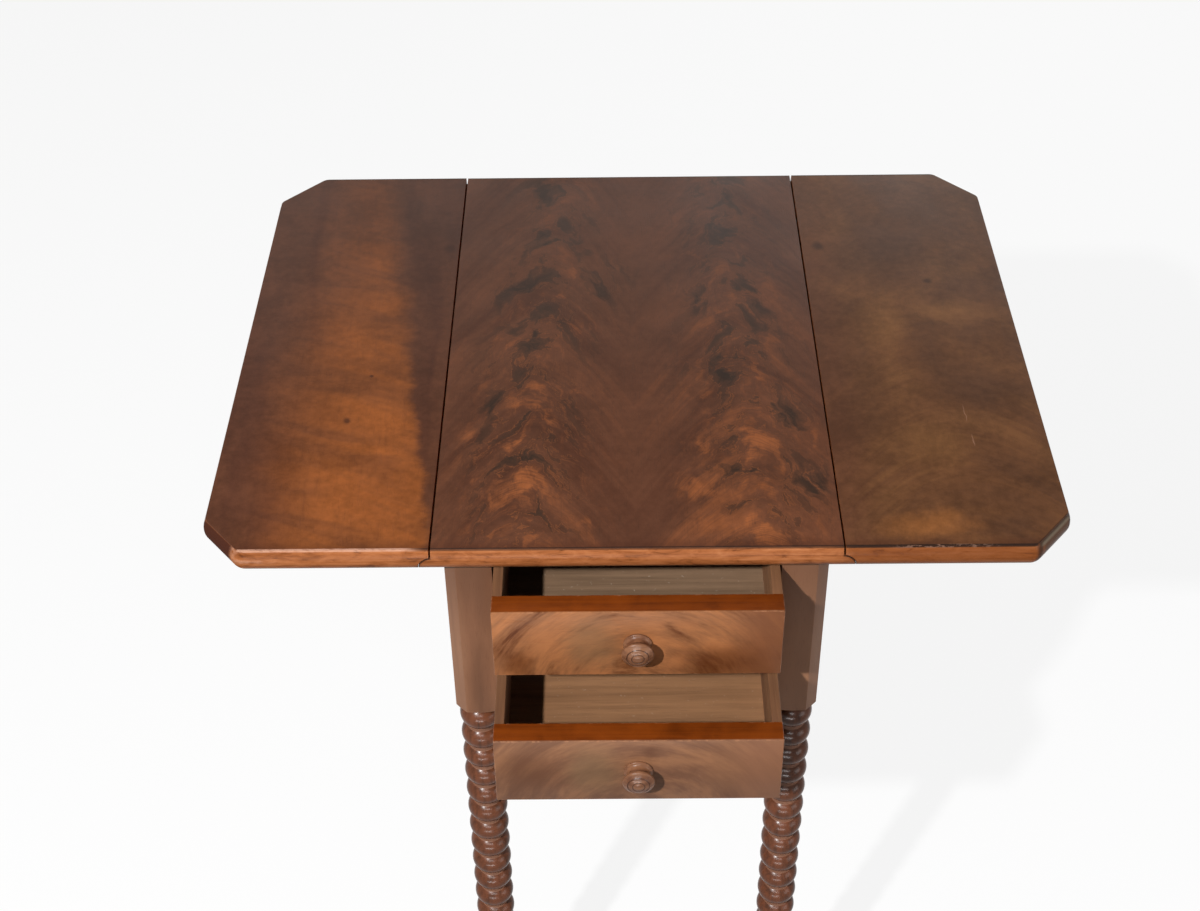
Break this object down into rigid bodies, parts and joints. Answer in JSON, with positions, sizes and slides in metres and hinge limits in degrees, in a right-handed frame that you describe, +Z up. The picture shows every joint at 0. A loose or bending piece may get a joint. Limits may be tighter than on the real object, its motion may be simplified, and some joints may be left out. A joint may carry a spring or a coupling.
{
  "type": "drop-leaf work table",
  "caption": "Small work table on turned legs with stacked drawers and clipped-corner leaves that drop on rule joints beside the fixed top.",
  "frame": {"origin": "on the floor, midway between the four feet", "axes": "+Z up, -Y towards the front where the drawers open, +X to the right seen from the front"},
  "size_m": [0.686, 0.657, 0.725],
  "materials": {
    "mahogany_crotch_top": "book-matched crotch mahogany veneer, old polish",
    "left_leaf_mahogany": "solid plain mahogany, old polish",
    "right_leaf_mahogany": "solid plain mahogany, old polish",
    "mahogany_leg": "turned solid mahogany, old polish",
    "mahogany_case": "solid mahogany, old polish",
    "drawer_front_veneer": "figured mahogany veneer, old polish",
    "knob_mahogany": "turned mahogany, old polish",
    "drawer_side_poplar": "unfinished tulip poplar, darkened with age",
    "drawer_bottom_pine": "unfinished pine, grain from side to side, darkened with age",
    "pine_carcase": "unfinished pine",
    "wrought_iron": "dark wrought iron",
    "screw_steel": "dull iron screws"
  },
  "bodies": {
    "case": {"table_top": "mahogany_crotch_top", "top_front_rail": "mahogany_case", "drawer_divider": "mahogany_case", "bottom_front_rail": "mahogany_case", "back_panel": "mahogany_case", "drawer_stops": "pine_carcase", "glue_blocks": "pine_carcase", "top_screws": "screw_steel", "front_left_leg": "mahogany_leg", "rear_left_leg": "mahogany_leg", "left_side_panel": "mahogany_case", "left_inner_rail": "pine_carcase", "left_fly_front_block": "mahogany_case", "left_fly_rear_block": "mahogany_case", "left_fly_pin": "wrought_iron", "left_upper_runner": "pine_carcase", "left_lower_runner": "pine_carcase", "left_lower_guide": "pine_carcase", "left_kicker": "pine_carcase", "left_top_hinge_flaps": "wrought_iron", "left_top_hinge_screws": "screw_steel", "left_hinge_pins": "wrought_iron", "front_right_leg": "mahogany_leg", "rear_right_leg": "mahogany_leg", "right_side_panel": "mahogany_case", "right_inner_rail": "pine_carcase", "right_fly_front_block": "mahogany_case", "right_fly_rear_block": "mahogany_case", "right_fly_pin": "wrought_iron", "right_upper_runner": "pine_carcase", "right_lower_runner": "pine_carcase", "right_lower_guide": "pine_carcase", "right_kicker": "pine_carcase", "right_top_hinge_flaps": "wrought_iron", "right_top_hinge_screws": "screw_steel", "right_hinge_pins": "wrought_iron"},
    "left_leaf_body": {"left_leaf": "left_leaf_mahogany", "left_leaf_hinge_flaps": "wrought_iron", "left_leaf_hinge_screws": "screw_steel"},
    "left_bracket_body": {"left_fly_bracket": "mahogany_case"},
    "right_leaf_body": {"right_leaf": "right_leaf_mahogany", "right_leaf_hinge_flaps": "wrought_iron", "right_leaf_hinge_screws": "screw_steel"},
    "right_bracket_body": {"right_fly_bracket": "mahogany_case"},
    "upper_drawer_body": {"upper_drawer_front": "drawer_front_veneer", "upper_drawer_left_side": "drawer_side_poplar", "upper_drawer_right_side": "drawer_side_poplar", "upper_drawer_back": "drawer_side_poplar", "upper_drawer_bottom": "drawer_bottom_pine", "upper_drawer_knob": "knob_mahogany", "upper_drawer_bottom_nails": "wrought_iron"},
    "lower_drawer_body": {"lower_drawer_front": "drawer_front_veneer", "lower_drawer_left_side": "drawer_side_poplar", "lower_drawer_right_side": "drawer_side_poplar", "lower_drawer_back": "drawer_side_poplar", "lower_drawer_bottom": "drawer_bottom_pine", "lower_drawer_knob": "knob_mahogany", "lower_drawer_bottom_nails": "wrought_iron"}
  },
  "joints": [
    {"name": "left_leaf_hinge", "type": "hinge", "parent": "case", "child": "left_leaf_body", "pos_m": [-0.16, 0, 0.707], "axis": [0, 1, 0], "range_deg": [-90, 0]},
    {"name": "right_leaf_hinge", "type": "hinge", "parent": "case", "child": "right_leaf_body", "pos_m": [0.16, 0, 0.707], "axis": [0, -1, 0], "range_deg": [-90, 0]},
    {"name": "left_bracket_swing", "type": "hinge", "parent": "case", "child": "left_bracket_body", "pos_m": [-0.14225, 0.078, 0.676], "axis": [0, 0, -1], "range_deg": [0, 90]},
    {"name": "right_bracket_swing", "type": "hinge", "parent": "case", "child": "right_bracket_body", "pos_m": [0.14225, 0.078, 0.676], "axis": [0, 0, 1], "range_deg": [0, 90]},
    {"name": "upper_drawer_slide", "type": "slide", "parent": "case", "child": "upper_drawer_body", "axis": [0, -1, 0], "range_m": [-0.056, 0.3]},
    {"name": "lower_drawer_slide", "type": "slide", "parent": "case", "child": "lower_drawer_body", "axis": [0, -1, 0], "range_m": [-0.109, 0.247]}
  ]
}
